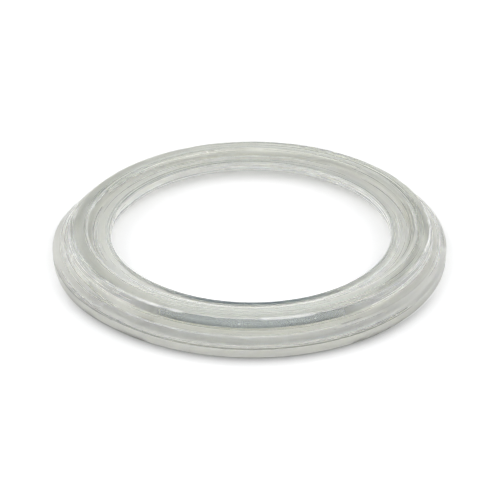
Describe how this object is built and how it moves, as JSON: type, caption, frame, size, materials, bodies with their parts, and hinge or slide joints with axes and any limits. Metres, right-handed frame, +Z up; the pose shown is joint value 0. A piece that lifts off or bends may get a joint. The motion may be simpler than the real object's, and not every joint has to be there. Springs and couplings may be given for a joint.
{
  "type": "sanitary clamp gasket",
  "caption": "Flat moulded silicone ring with a bead on each face and a short lip around its edge, which seals two pipe ferrules inside a clamp.",
  "frame": {"origin": "centre of the ring, on the plane that the lower bead and the tip of the lip rest on", "axes": "+Z up along the axis of the ring, which lies lip down; X and Y are alike"},
  "size_m": [0.0662, 0.0662, 0.0047],
  "materials": {
    "silicone": "translucent, smooth moulded silicone"
  },
  "bodies": {
    "root": {"gasket": "silicone"}
  },
  "joints": []
}
